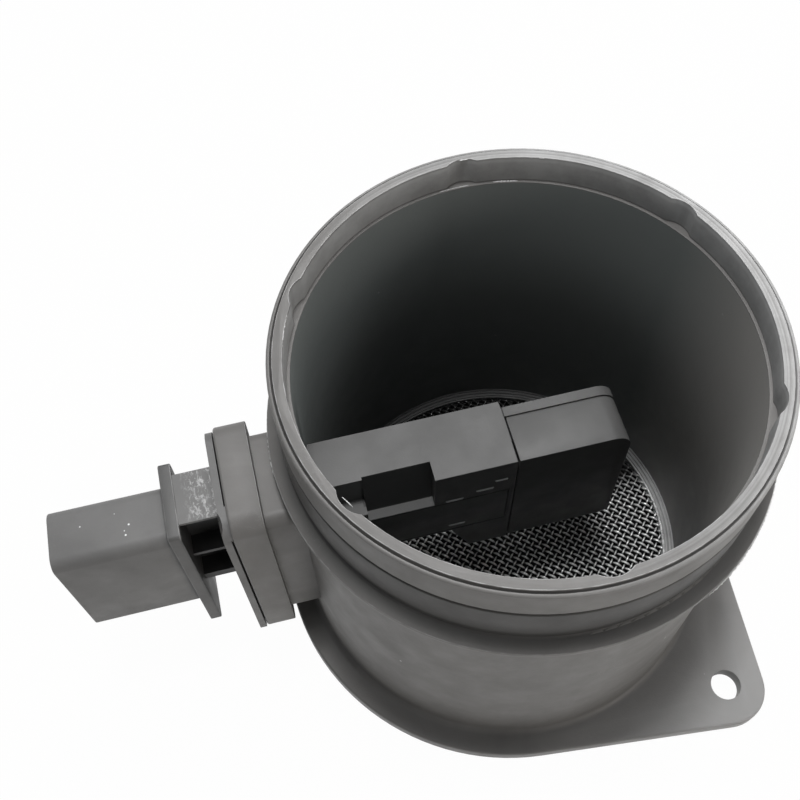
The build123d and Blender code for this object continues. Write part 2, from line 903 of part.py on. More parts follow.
def make_evaluation_chip():
    """The chip in the middle of the board."""
    x = (board_begin_x + board_end_x) / 2
    z = board_middle
    half = chip_size / 2
    chip = block(x - half, x + half, board_near_y - chip_thickness, board_near_y, z - half, z + half)
    return chamfer(edges_at(chip, Axis.Y, board_near_y - chip_thickness), chip_edge)


def make_capacitor(index):
    """One of the capacitors along the end of the board."""
    x = board_end_x - capacitor_width
    span = board_top - board_bottom
    z = board_bottom + span * (index + 0.5) / capacitor_count
    half_w = capacitor_width / 2
    half_l = capacitor_length / 2
    return block(
        x - half_w, x + half_w, board_near_y - capacitor_height, board_near_y,
        z - half_l, z + half_l
    )


def make_bond_wire(index):
    """A wire that loops from a terminal's inner end to the board."""
    z = terminal_height(index)
    board_z = board_middle + (z - terminal_middle) * wire_fan_share
    start_x = bay_begin_x + terminal_inner_reach - wire_start
    end_x = board_begin_x + wire_landing
    start_y = -terminal_thickness / 2
    crest_y = start_y - wire_rise
    path = FilletPolyline(
        (start_x, start_y, z),
        (start_x, crest_y, z),
        (end_x, crest_y, board_z),
        (end_x, board_near_y, board_z),
        radius=wire_bend,
    )
    section = Plane(origin=(start_x, start_y, z), z_dir=(0, -1, 0)) * Circle(wire_radius)
    return sweep(section, path=path)


def bead_leads():
    """The two leads in one line along the recess, held by the moulding at both ends."""
    middle = (lead_begin_x + lead_end_x) / 2
    return Pos(middle, 0, bead_z) * Rot(0, 90, 0) * Cylinder(bead_lead_radius, lead_end_x - lead_begin_x)


def make_temperature_sensor():
    """A glass bead on two leads along the recess in the lower edge."""
    half = bead_radius * bead_stretch
    crown = ThreePointArc((-half, 0, 0), (0, 0, bead_radius), (half, 0, 0))
    bead = revolve(make_face(crown + Line((half, 0, 0), (-half, 0, 0))), Axis.X)
    return bead_leads() + Pos((recess_begin_x + recess_end_x) / 2, 0, bead_z) * bead


def write_parts():
    """Builds every piece and writes one file for each."""
    parts = {
        "tube_housing": make_tube_housing(),
        "screen_ring": make_screen_ring(),
        "inlet_screen": make_inlet_screen(),
        "flange_seal": make_flange_seal(),
        "insert_body": make_insert_body(),
        "insert_seal": make_insert_seal(),
        "mounting_screws": make_mounting_screws(),
        "electronics_cover": make_electronics_cover(),
        "bypass_cover": make_bypass_cover(),
        "base_plate": make_base_plate(),
        "circuit_board": make_circuit_board(),
        "evaluation_chip": make_evaluation_chip(),
        "sensor_carrier": make_sensor_carrier(),
        "sensor_chip": make_sensor_chip(),
        "air_temperature_sensor": make_temperature_sensor(),
    }
    for index in range(capacitor_count):
        parts[f"capacitor_{index + 1}"] = make_capacitor(index)
    for index in range(terminal_count):
        parts[f"terminal_{index + 1}"] = make_terminal(index)
        parts[f"bond_wire_{index + 1}"] = make_bond_wire(index)
    os.makedirs("parts", exist_ok=True)
    for name, part in parts.items():
        export_step(part, f"parts/{name}.step")


write_parts()
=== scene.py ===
import math

import bmesh
import bpy
from mathutils import Matrix, Vector


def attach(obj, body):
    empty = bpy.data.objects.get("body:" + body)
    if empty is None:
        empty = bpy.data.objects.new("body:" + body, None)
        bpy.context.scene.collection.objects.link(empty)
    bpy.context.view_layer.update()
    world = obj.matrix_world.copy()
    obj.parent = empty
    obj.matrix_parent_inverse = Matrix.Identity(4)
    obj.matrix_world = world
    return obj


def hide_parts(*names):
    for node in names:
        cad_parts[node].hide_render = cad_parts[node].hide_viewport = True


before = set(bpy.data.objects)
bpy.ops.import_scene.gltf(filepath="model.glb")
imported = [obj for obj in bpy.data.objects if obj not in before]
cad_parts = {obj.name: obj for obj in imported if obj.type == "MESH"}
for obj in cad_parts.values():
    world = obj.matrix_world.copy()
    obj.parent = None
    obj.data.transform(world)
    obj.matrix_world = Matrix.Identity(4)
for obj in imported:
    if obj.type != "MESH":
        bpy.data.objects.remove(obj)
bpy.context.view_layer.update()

MM = 0.001

# Sizes in millimetres, in the part's frame
screen_radius = 38.0
collar_radius = 45.6
collar_underside = 62.6
ledge_radius = 40.1
ledge_level = 78.0
rim_level = 83.85
blade_near = -6.6

# The screen's two sets of wires: pitch, the other set's pitch, wire radius, crimp, level and turn
screen_sets = (
    ("screen_wires_lengthways", 1.21, 1.47, 0.25, 0.3, 1.3, -42.7),
    ("screen_wires_crossways", 1.47, 1.21, 0.2, -0.22, 1.24, 47.3),
)
points_between_crossings = 5

# Short raised ribs on the blade's near side: start and end along X, and height
near_side_ribs = (
    (-15.4, -11.6, 44.1), (-9.4, -5.7, 45.7), (-5.8, -3.0, 48.3), (-14.6, -10.9, 32.3),
)
rib_half_foot = 0.28
rib_half_crest = 0.12
rib_sunk = 0.12
rib_proud = 0.22
rib_end_slope = 0.35
rib_rounding = 0.05

# Flash left by the mould: radius, level, first and last angle, thickness
flash_lines = (
    ("collar_flash_right", collar_radius + 0.1, collar_underside + 0.1, -66.0, -18.0, 0.24),
    ("collar_flash_left", collar_radius, collar_underside, 150.0, 184.0, 0.14),
    ("ledge_flash_back", ledge_radius, ledge_level, 75.0, 82.0, 0.17),
    ("ledge_flash_left", ledge_radius, ledge_level, 88.0, 97.0, 0.1),
    ("rim_flash_back", 40.45, rim_level, 66.0, 75.0, 0.1),
    ("rim_flash_scoop", 41.2, rim_level, 86.0, 91.0, 0.11),
    ("rim_flash_left", 40.45, rim_level, 155.0, 168.0, 0.1),
    ("rim_burr_front", 40.4, rim_level, -151.5, -148.0, 0.1),
)
flash_steps_per_degree = 3
flash_least_steps = 12
flash_seed_step = 3.7

# How a copied solid is cleaned and rounded: millimetres, degrees and shares
merge_distance = 0.002
flat_angle = 0.3
sharp_angle = 32.0
edge_segments = 2
thin_face_share = 1.5

# Where an edge is rubbed pale: two corners of a box, and how strongly
worn_places = {
    "tube_housing": (
        ((-50, -50, 83), (50, 50, 85), 0.55),
        ((-50, -50, 62), (50, 50, 65), 0.3),
        ((-60, -20, 5), (-48, 20, 70), 0.22),
    ),
    "insert_body": (
        ((-67, -9, 10), (-63, 9, 60), 0.25),
        ((-58, -12, 5), (-55, 12, 64), 0.3),
        ((-39, -7, 54), (-2.5, 7, 56), 0.2),
    ),
    "bypass_cover": (((0, -7, 54), (22, 7, 56), 0.2),),
}

# The finish of each CAD solid that stays
kept_solids = {
    "flange_seal": "rubber", "insert_seal": "rubber", "mounting_screws": "steel",
    "base_plate": "aluminium", "circuit_board": "ceramic", "evaluation_chip": "resin",
    "sensor_carrier": "ceramic", "sensor_chip": "silicon", "air_temperature_sensor": "bead",
}
capacitor_count = 3
terminal_count = 5

# Lamps: place and target in metres, size, power in watts, colour
lamps = (
    ("key lamp", (0.12, 0.5, 0.86), (0, 0, 0.05), 0.36, 3.7, (1.0, 1.0, 1.0)),
    ("right lamp", (0.68, 0.1, 0.72), (0, 0, 0.05), 0.36, 2.4, (1.0, 1.0, 1.0)),
    ("upper lamp", (-0.2, 0.0, 0.98), (0, 0, 0.05), 0.4, 1.2, (0.98, 0.99, 1.0)),
    ("small lamp", (-0.03, 0.08, 0.99), (0, 0, 0.02), 0.13, 5.2, (1.0, 1.0, 1.0)),
    ("front lamp", (0.55, -0.83, 0.12), (0, 0, 0.03), 0.5, 3.9, (1.0, 0.95, 0.89)),
)

# The floor, in metres: how far it reaches, how low it lies, and the disc of painted shade under
# the bore
floor_reach = 3.0
floor_level = -0.00005
painted_shade_disc = (0.0395, 0.0415)
floor_whiteness = 0.98

# The photo's camera, from the fit to the tube's circles and the insert's edges: axes and place,
# then focal length and photo width in pixels, and film width in millimetres
camera_right = (0.9711509, -0.2375303, -0.0211011)
camera_down = (-0.2156854, -0.8371896, -0.5025868)
camera_ahead = (0.1017140, 0.4926388, -0.8642692)
camera_place = (-0.0397032, -0.0857427, 0.2252247)
camera_focal = 1034.4912
photo_width = 800
film_width = 36.0


def place_node(tree, kind, settings=None, values=None):
    """One node, with its settings and the values or links of its inputs."""
    node = tree.nodes.new(kind)
    for name, value in (settings or {}).items():
        setattr(node, name, value)
    for name, value in (values or {}).items():
        socket = node.inputs[name]
        if isinstance(value, bpy.types.NodeSocket):
            tree.links.new(value, socket)
        else:
            socket.default_value = value
    return node


def math_node(tree, operation, first, second=None):
    """A Math node's result."""
    values = {0: first}
    if second is not None:
        values[1] = second
    return place_node(tree, "ShaderNodeMath", {"operation": operation}, values).outputs[0]


def product(tree, first, *others):
    """Values multiplied together, such as masks and their strength."""
    result = first
    for value in others:
        result = math_node(tree, "MULTIPLY", result, value)
    return result


def ramp(tree, value, low, high, to_low=0.0, to_high=1.0):
    """A value moved from one range to another, and kept inside it."""
    values = {0: value, 1: low, 2: high, 3: to_low, 4: to_high}
    return place_node(tree, "ShaderNodeMapRange", {"clamp": True}, values).outputs[0]


def mixed(tree, share, first, second):
    """Two colours mixed by a share."""
    values = {0: share, 6: first, 7: second}
    return place_node(tree, "ShaderNodeMix", {"data_type": "RGBA"}, values).outputs[2]


def mixed_shaders(tree, share, first, second):
    """Two shaders mixed by a share."""
    values = {0: share, 1: first.outputs[0], 2: second.outputs[0]}
    return place_node(tree, "ShaderNodeMixShader", None, values).outputs[0]


def new_group(kind, name, inputs, outputs):
    """An empty node group with named sockets."""
    tree = bpy.data.node_groups.new(name, kind)
    for label, socket_type, value in inputs:
        socket = tree.interface.new_socket(label, in_out="INPUT", socket_type=socket_type)
        if value is not None:
            socket.default_value = value
    for label, socket_type in outputs:
        tree.interface.new_socket(label, in_out="OUTPUT", socket_type=socket_type)
    return tree, tree.nodes.new("NodeGroupInput"), tree.nodes.new("NodeGroupOutput")


def make_spark_grain():
    """The fine grain of a moulded skin: a height and a slow change of tone."""
    slow_share = 0.06
    tree, given, result = new_group(
        "ShaderNodeTree", "spark grain",
        (("Place", "NodeSocketVector", None), ("Size", "NodeSocketFloat", 2600.0)),
        (("Height", "NodeSocketFloat"), ("Tone", "NodeSocketFloat")),
    )
    fine = place_node(tree, "ShaderNodeTexNoise", None, {
        "Vector": given.outputs["Place"], "Scale": given.outputs["Size"], "Detail": 3.0,
        "Roughness": 0.6,
    })
    slow_size = product(tree, given.outputs["Size"], slow_share)
    slow = place_node(tree, "ShaderNodeTexNoise", None, {
        "Vector": given.outputs["Place"], "Scale": slow_size, "Detail": 4.0, "Roughness": 0.6,
    })
    tree.links.new(fine.outputs[0], result.inputs["Height"])
    tree.links.new(slow.outputs[0], result.inputs["Tone"])
    return tree


def make_cloudy_tone():
    """A colour that drifts between two tones over a handled surface."""
    all_dark, all_light = 0.32, 0.68
    tree, given, result = new_group(
        "ShaderNodeTree", "cloudy tone",
        (
            ("Place", "NodeSocketVector", None), ("Dark", "NodeSocketColor", None),
            ("Light", "NodeSocketColor", None), ("Size", "NodeSocketFloat", 60.0),
        ),
        (("Color", "NodeSocketColor"),),
    )
    cloud = place_node(tree, "ShaderNodeTexNoise", None, {
        "Vector": given.outputs["Place"], "Scale": given.outputs["Size"], "Detail": 5.0,
        "Roughness": 0.62, "Distortion": 0.6,
    })
    share = ramp(tree, cloud.outputs[0], all_dark, all_light)
    color = mixed(tree, share, given.outputs["Dark"], given.outputs["Light"])
    tree.links.new(color, result.inputs["Color"])
    return tree


def make_dust_specks():
    """Small pale specks, thinly and unevenly strewn."""
    smallest, largest, soft = 0.035, 0.11, 0.02
    tree, given, result = new_group(
        "ShaderNodeTree", "dust specks",
        (
            ("Place", "NodeSocketVector", None), ("Size", "NodeSocketFloat", 300.0),
            ("Share", "NodeSocketFloat", 0.1),
        ),
        (("Mask", "NodeSocketFloat"),),
    )
    cells = place_node(tree, "ShaderNodeTexVoronoi", None, {
        "Vector": given.outputs["Place"], "Scale": given.outputs["Size"], "Randomness": 1.0,
    })
    parts = place_node(tree, "ShaderNodeSeparateColor", None, {0: cells.outputs["Color"]})
    limit = math_node(tree, "SUBTRACT", 1.0, given.outputs["Share"])
    chosen = math_node(tree, "GREATER_THAN", parts.outputs[0], limit)
    reach = ramp(tree, parts.outputs[1], 0.0, 1.0, smallest, largest)
    edge = math_node(tree, "SUBTRACT", reach, cells.outputs["Distance"])
    dot = ramp(tree, edge, 0.0, soft)
    tree.links.new(product(tree, chosen, dot), result.inputs["Mask"])
    return tree


def make_fine_scuffs():
    """Thin pale scuffs that gather in patches."""
    half_width = 0.012
    patch_share = 0.22
    start_with_few, start_with_many, patch_soft = 0.75, 0.35, 0.12
    tree, given, result = new_group(
        "ShaderNodeTree", "fine scuffs",
        (
            ("Place", "NodeSocketVector", None), ("Size", "NodeSocketFloat", 200.0),
            ("Share", "NodeSocketFloat", 0.3),
        ),
        (("Mask", "NodeSocketFloat"),),
    )
    lines = place_node(tree, "ShaderNodeTexNoise", None, {
        "Vector": given.outputs["Place"], "Scale": given.outputs["Size"], "Detail": 6.0,
        "Roughness": 0.7, "Distortion": 1.6,
    })
    away = math_node(tree, "ABSOLUTE", math_node(tree, "SUBTRACT", lines.outputs[0], 0.5))
    thin = ramp(tree, away, half_width, 0.0)
    patch_size = product(tree, given.outputs["Size"], patch_share)
    patches = place_node(tree, "ShaderNodeTexNoise", None, {
        "Vector": given.outputs["Place"], "Scale": patch_size, "Detail": 2.0,
    })
    start = ramp(tree, given.outputs["Share"], 0.0, 1.0, start_with_few, start_with_many)
    stop = math_node(tree, "ADD", start, patch_soft)
    gathered = ramp(tree, patches.outputs[0], start, stop)
    tree.links.new(product(tree, thin, gathered), result.inputs["Mask"])
    return tree


def make_rubbed_edges():
    """The worn edges that a piece marks with its rub attribute, broken up a little."""
    break_low, break_high, least = 0.38, 0.6, 0.25
    tree, given, result = new_group(
        "ShaderNodeTree", "rubbed edges",
        (("Place", "NodeSocketVector", None), ("Amount", "NodeSocketFloat", 0.6)),
        (("Mask", "NodeSocketFloat"),),
    )
    marked = place_node(tree, "ShaderNodeAttribute", {"attribute_name": "rub"})
    breaks = place_node(tree, "ShaderNodeTexNoise", None, {
        "Vector": given.outputs["Place"], "Scale": 420.0, "Detail": 4.0,
    })
    strength = ramp(tree, breaks.outputs[0], break_low, break_high, least, 1.0)
    mask = product(tree, marked.outputs["Fac"], strength, given.outputs["Amount"])
    tree.links.new(mask, result.inputs["Mask"])
    return tree


SPARK_GRAIN = make_spark_grain()
CLOUDY_TONE = make_cloudy_tone()
DUST_SPECKS = make_dust_specks()
FINE_SCUFFS = make_fine_scuffs()
RUBBED_EDGES = make_rubbed_edges()


def use_group(tree, group, values):
    """One of the effect groups, placed in a material."""
    return place_node(tree, "ShaderNodeGroup", {"node_tree": group}, values)


def grey(level, warmth=0.0):
    """A grey from its sRGB level of 0 to 255, a little warm or cool."""
    share = level / 255
    linear = share / 12.92 if share <= 0.04045 else ((share + 0.055) / 1.055) ** 2.4
    return (linear * (1 + warmth), linear, linear * (1 - warmth), 1.0)


# Shades of the plastics: the tone, its strength, and where it lies. A place is a span along a
# measure, in millimetres. The shade fades in from the span's first number to its second, or, with
# a third number, lies between the two with ends that soft. A bare name is a mask made before.
housing_bore = (("radius", 40.5, 40.2), ("z", 77.9, 77.7))
# The direction in which painted light grows on the bore's right wall
painted_light_side = (0.93, -0.37, 0.0)
# The direction in which the rim's rings grow paler, as painted sheen
rim_sheen_side = (0.96, 0.3, 0.0)
housing_shades = (
    # The hose neck below the bead, darker: painted shade
    (grey(60, 0.02), 0.85, ("z", 64.0, 75.8, 0.6), ("radius", 41.4, 41.8)),
    # The bore's cool tone, painted shade deepening towards its lower part, and painted light on
    # its right wall
    ((0.165, 0.182, 0.178, 1.0), 0.8, "bore"),
    (grey(52), 0.28, ("z", 62.0, 40.0), "bore"),
    (grey(142, 0.04), 0.85, ("film side", 26.0, 38.0), "bore"),
    # The inner side of the rim, pale in patches: partly wear, partly painted light near the
    # opening
    (grey(178), 0.8, ("z", 78.2, 83.6, 0.2), ("radius", 41.6, 41.2), "patches"),
    # Dust on the flange top, growing towards the ears' outer ends as painted light
    (grey(165), 0.44, ("radius", 47.0, 60.0), ("z", 4.4, 4.0)),
    # Turned rings on the rim's top, paler towards the right and back as painted sheen
    (grey(184), 1.0, ("z", 82.6, 83.2), ("radius", 43.4, 43.1), "rings"),
)
insert_bore = (("x", -40.0, -38.5),)
insert_shades = (
    # Painted shade on all that lies in the bore
    (grey(60), 0.64, "bore"),
    # Painted shade on the back and the floor of the blade's cut-out
    (grey(38), 0.85, ("x", -30.8, -17.2, 0.1), ("y", -4.9, -2.2, 0.1), ("z", 43.9, 54.2, 0.1)),
    (grey(50), 0.5, ("x", -30.8, -17.2, 0.1), ("z", 38.0, 43.9, 0.1)),
    # Painted shade on the stem's near side; the guard a darker tone
    (grey(36), 0.85, ("x", -64.1, -56.9, 0.2), ("y", -0.6, -0.9), ("z", 56.5, 56.0)),
    (grey(62), 0.5, ("x", -67.0, -64.0, 0.1)),
    # Painted shade on the blade's near face
    (grey(31), 0.85, ("y", -6.73, -6.5, 0.04), "bore"),
    # Dust on the plug's top
    (grey(225), 1.0, "dust", ("x", -81.5, -72.5, 0.8), ("z", 52.4, 52.7)),
    # Whitish scrapes on the stem's top
    (
        grey(205), 0.75, "scrapes", ("x", -61.5, -56.2, 1.2), ("y", -4.7, 6.2, 0.6),
        ("z", 56.9, 58.0, 0.2),
    ),
)

# Painted shade on the screen and its ring: start and end of its growth in millimetres, and its
# strength
painted_shade_in_weave = (1.58, 1.3, 0.92)
painted_shade_on_wires_behind = (2.0, 9.0, 0.97)
painted_shade_on_ring_behind = (2.0, 10.0, 0.9)
# The ring's inner edge, where painted glints lie: start and end of their growth in millimetres
ring_glint_edge = (37.9, 37.7)

# The range of a skin's pattern that gloss follows, and the depth of relief in millimetres
skin_low, skin_high = 0.3, 0.7
plastic_relief = 0.2
body_relief = 0.1


def new_material(name):
    """A material with its shader and its object coordinates."""
    material = bpy.data.materials.new(name)
    material.use_nodes = True
    tree = material.node_tree
    tree.nodes.clear()
    shader = tree.nodes.new("ShaderNodeBsdfPrincipled")
    output = tree.nodes.new("ShaderNodeOutputMaterial")
    tree.links.new(shader.outputs[0], output.inputs["Surface"])
    coordinates = tree.nodes.new("ShaderNodeTexCoord")
    return material, tree, shader, coordinates.outputs["Object"]


def coordinates_of(tree, place):
    """A place's three coordinates by name."""
    parts = place_node(tree, "ShaderNodeSeparateXYZ", None, {0: place})
    return {"x": parts.outputs[0], "y": parts.outputs[1], "z": parts.outputs[2]}


def from_axis(tree, spot):
    """How far a place lies from the tube's axis."""
    flat = place_node(tree, "ShaderNodeCombineXYZ", None, {0: spot["x"], 1: spot["y"]})
    away = place_node(tree, "ShaderNodeVectorMath", {"operation": "LENGTH"}, {0: flat.outputs[0]})
    return away.outputs["Value"]


def towards(tree, place, direction):
    """How far a place lies in a direction."""
    values = {0: place, 1: direction}
    reach = place_node(tree, "ShaderNodeVectorMath", {"operation": "DOT_PRODUCT"}, values)
    return reach.outputs["Value"]


def grown(tree, value, start, full, strength=1.0):
    """A mask that grows from none to its strength between two places in millimetres."""
    return ramp(tree, value, start * MM, full * MM, 0.0, strength)


def between(tree, value, low, high, soft):
    """A mask that is 1 between two places in millimetres and fades out over a short way."""
    rise = grown(tree, value, low - soft, low + soft)
    fall = ramp(tree, value, (high - soft) * MM, (high + soft) * MM, 1.0, 0.0)
    return product(tree, rise, fall)


def where(tree, spot, spans):
    """The mask of one entry in a table of shades."""
    masks = []
    for span in spans:
        if isinstance(span, str):
            masks.append(spot[span])
        else:
            name, *numbers = span
            shape = grown if len(numbers) == 2 else between
            masks.append(shape(tree, spot[name], *numbers))
    return product(tree, *masks)


def shaded(tree, spot, color, shades):
    """A colour with a table of shades laid over it, one after another."""
    for tone, strength, *spans in shades:
        mask = product(tree, where(tree, spot, spans), strength)
        color = mixed(tree, mask, color, tone)
    return color


def toned_skin(tree, place, dark, light, cloud, grain):
    """A drifting tone's colour and a fine grain, each with the scale of its pattern."""
    tone = use_group(tree, CLOUDY_TONE, {
        "Place": place, "Dark": dark, "Light": light, "Size": cloud,
    })
    skin = use_group(tree, SPARK_GRAIN, {"Place": place, "Size": grain})
    return tone.outputs["Color"], skin


def set_gloss(tree, shader, pattern, least, most):
    """Roughness that follows a skin's pattern."""
    rough = ramp(tree, pattern, skin_low, skin_high, least, most)
    tree.links.new(rough, shader.inputs["Roughness"])


def set_relief(tree, shader, skin, strength, depth):
    """Relief from a skin's height, with its depth in millimetres."""
    bump = place_node(tree, "ShaderNodeBump", None, {
        "Strength": strength, "Distance": depth * MM, "Height": skin.outputs["Height"],
    })
    tree.links.new(bump.outputs[0], shader.inputs["Normal"])


def plastic_skin(tree, shader, place, dark, light, edge, specks, scuffs, roughness, grain):
    """The shared finish of the moulded pieces: sets gloss and relief, and returns the colour."""
    scuff_strength = 0.25
    roughness_swing = 0.07
    color, skin = toned_skin(tree, place, dark, light, cloud=55.0, grain=2600.0)
    rub = use_group(tree, RUBBED_EDGES, {"Place": place, "Amount": 1.0})
    lines = use_group(tree, FINE_SCUFFS, {"Place": place, "Size": 180.0, "Share": scuffs})
    dots = use_group(tree, DUST_SPECKS, {"Place": place, "Size": 330.0, "Share": specks})
    color = mixed(tree, rub.outputs["Mask"], color, edge)
    color = mixed(tree, product(tree, lines.outputs["Mask"], scuff_strength), color, edge)
    color = mixed(tree, dots.outputs["Mask"], color, grey(225))
    set_gloss(
        tree, shader, skin.outputs["Tone"], roughness - roughness_swing,
        roughness + roughness_swing
    )
    set_relief(tree, shader, skin, strength=grain, depth=plastic_relief)
    shader.inputs["Specular IOR Level"].default_value = 0.32
    return color


def housing_plastic():
    """The tube's plastic: rim pale and ringed with painted sheen, painted light inside the rim,
    painted shade on the neck and deep in the bore, dust and painted light on the ears, painted
    light on the bore's right wall.
    """
    material, tree, shader, place = new_material("housing plastic")
    color = plastic_skin(
        tree, shader, place, dark=grey(101, 0.03), light=grey(113, 0.03), edge=grey(190),
        specks=0.03, scuffs=0.25, roughness=0.5, grain=0.12
    )
    spot = coordinates_of(tree, place)
    spot["radius"] = from_axis(tree, spot)
    spot["film side"] = towards(tree, place, painted_light_side)
    spot["bore"] = where(tree, spot, housing_bore)
    cloud = place_node(tree, "ShaderNodeTexNoise", None, {
        "Vector": place, "Scale": 120.0, "Detail": 6.0, "Roughness": 0.7,
    })
    spot["patches"] = ramp(tree, cloud.outputs[0], low=0.35, high=0.62, to_low=0.6)
    line_place = place_node(tree, "ShaderNodeCombineXYZ", None, {0: spot["radius"]})
    lines = place_node(tree, "ShaderNodeTexNoise", None, {
        "Vector": line_place.outputs[0], "Scale": 2400.0, "Detail": 2.0,
    })
    uneven = ramp(tree, lines.outputs[0], low=0.35, high=0.65, to_low=0.45)
    # Painted sheen: the rings grow paler towards the right and back
    side = towards(tree, place, rim_sheen_side)
    rim_sheen = ramp(tree, side, low=-20.0 * MM, high=38.0 * MM, to_low=0.05)
    spot["rings"] = product(tree, uneven, spot["patches"], rim_sheen)
    tree.links.new(shaded(tree, spot, color, housing_shades), shader.inputs["Base Color"])
    return material


def insert_plastic():
    """The insert's plastic: whitish scrapes on the stem, dust on the plug, and painted shade in
    the bore, the cut-out and on the stem's near side.
    """
    material, tree, shader, place = new_material("insert plastic")
    color = plastic_skin(
        tree, shader, place, dark=grey(100, 0.01), light=grey(111, 0.01), edge=grey(190),
        specks=0.05, scuffs=0.3, roughness=0.5, grain=0.12
    )
    spot = coordinates_of(tree, place)
    spot["bore"] = where(tree, spot, insert_bore)
    dust = use_group(tree, DUST_SPECKS, {"Place": place, "Size": 420.0, "Share": 0.85})
    spot["dust"] = dust.outputs["Mask"]
    stretched = place_node(tree, "ShaderNodeMapping", None, {
        "Vector": place, "Rotation": (0.0, 0.0, 0.5), "Scale": (1.0, 0.45, 1.0),
    })
    scrapes = place_node(tree, "ShaderNodeTexNoise", None, {
        "Vector": stretched.outputs[0], "Scale": 1300.0, "Detail": 5.0, "Roughness": 0.75,
        "Distortion": 0.8,
    })
    spot["scrapes"] = ramp(tree, scrapes.outputs[0], low=0.5, high=0.66)
    tree.links.new(shaded(tree, spot, color, insert_shades), shader.inputs["Base Color"])
    return material


def even_plastic(name, dark, light, edge, **finish):
    """A moulded plastic that is alike all over."""
    material, tree, shader, place = new_material(name)
    color = plastic_skin(tree, shader, place, dark, light, edge, **finish)
    tree.links.new(color, shader.inputs["Base Color"])
    return material


def drawn_metal(name, dark, light, roughness):
    """A metal with a fine grain and a drifting tone."""
    smoother, rougher = 0.08, 0.1
    material, tree, shader, place = new_material(name)
    color, skin = toned_skin(tree, place, dark, light, cloud=240.0, grain=900.0)
    tree.links.new(color, shader.inputs["Base Color"])
    height = skin.outputs["Height"]
    set_gloss(tree, shader, height, roughness - smoother, roughness + rougher)
    set_relief(tree, shader, skin, strength=0.15, depth=body_relief)
    shader.inputs["Metallic"].default_value = 1.0
    return material


def screen_wire():
    """The screen's bright wire, with painted shade in the weave's low places and behind the
    probe.
    """
    material, tree, shader, place = new_material("screen wire")
    color, skin = toned_skin(tree, place, grey(225), grey(255), cloud=520.0, grain=900.0)
    spot = coordinates_of(tree, place)
    # Painted shade in the weave's low places and on the wires behind the probe
    low = grown(tree, spot["z"], *painted_shade_in_weave)
    behind = grown(tree, spot["y"], *painted_shade_on_wires_behind)
    painted_shade = math_node(tree, "MAXIMUM", low, behind)
    tree.links.new(mixed(tree, painted_shade, color, grey(40)), shader.inputs["Base Color"])
    set_gloss(tree, shader, skin.outputs["Height"], least=0.2, most=0.36)
    shader.inputs["Metallic"].default_value = 0.4
    return material


def pressed_ring():
    """The screen ring's metal: painted glints where the screen's wires end, painted shade behind
    the probe.
    """
    material, tree, shader, place = new_material("pressed ring")
    color, skin = toned_skin(tree, place, grey(138), grey(165), cloud=160.0, grain=900.0)
    spot = coordinates_of(tree, place)
    # Painted glints at the ring's inner edge, where the wires end
    edge = grown(tree, from_axis(tree, spot), *ring_glint_edge)
    glints = ramp(tree, skin.outputs["Height"], low=0.45, high=0.6, to_low=0.25)
    color = mixed(tree, product(tree, edge, glints), color, grey(240))
    # Painted shade on the ring behind the probe
    painted_shade = grown(tree, spot["y"], *painted_shade_on_ring_behind)
    tree.links.new(mixed(tree, painted_shade, color, grey(70)), shader.inputs["Base Color"])
    set_gloss(tree, shader, skin.outputs["Tone"], least=0.42, most=0.55)
    return material


def plain_body(name, dark, light, roughness):
    """A simple coloured body with a drifting tone and a fine grain."""
    roughness_swing = 0.06
    material, tree, shader, place = new_material(name)
    color, skin = toned_skin(tree, place, dark, light, cloud=160.0, grain=500.0)
    tree.links.new(color, shader.inputs["Base Color"])
    set_gloss(
        tree, shader, skin.outputs["Tone"], roughness - roughness_swing,
        roughness + roughness_swing
    )
    set_relief(tree, shader, skin, strength=0.1, depth=body_relief)
    return material


def placed(name, data):
    """A new object in the scene."""
    piece = bpy.data.objects.new(name, data)
    bpy.context.scene.collection.objects.link(piece)
    return piece


def mesh_from(work, name):
    """The mesh of a finished edit."""
    mesh = bpy.data.meshes.new(name)
    work.to_mesh(mesh)
    work.free()
    return mesh


def mark_sharp(work, angle):
    """Smooth faces, with every edge above an angle kept sharp."""
    for face in work.faces:
        face.smooth = True
    for edge in work.edges:
        edge.smooth = len(edge.link_faces) == 2 and edge.calc_face_angle() < angle


def closed_corners(work, angle, width):
    """The convex edges to round: sharp, not beside a thin face, and in unbroken chains."""
    chosen = set()
    for edge in work.edges:
        if len(edge.link_faces) != 2 or not edge.is_convex or edge.calc_face_angle() < angle:
            continue
        span = min(face.calc_area() / edge.calc_length() for face in edge.link_faces)
        if span > thin_face_share * width:
            chosen.add(edge)
    loose = True
    while loose:
        loose = [
            edge for edge in chosen
            if any(sum(other in chosen for other in end.link_edges) < 2 for end in edge.verts)
        ]
        chosen.difference_update(loose)
    return list(chosen)


def rub_at(node, middle):
    """How strongly an edge at a place is rubbed."""
    spot = middle / MM
    for low, high, strength in worn_places.get(node, ()):
        if all(low[axis] <= spot[axis] <= high[axis] for axis in range(3)):
            return strength
    return 0.0


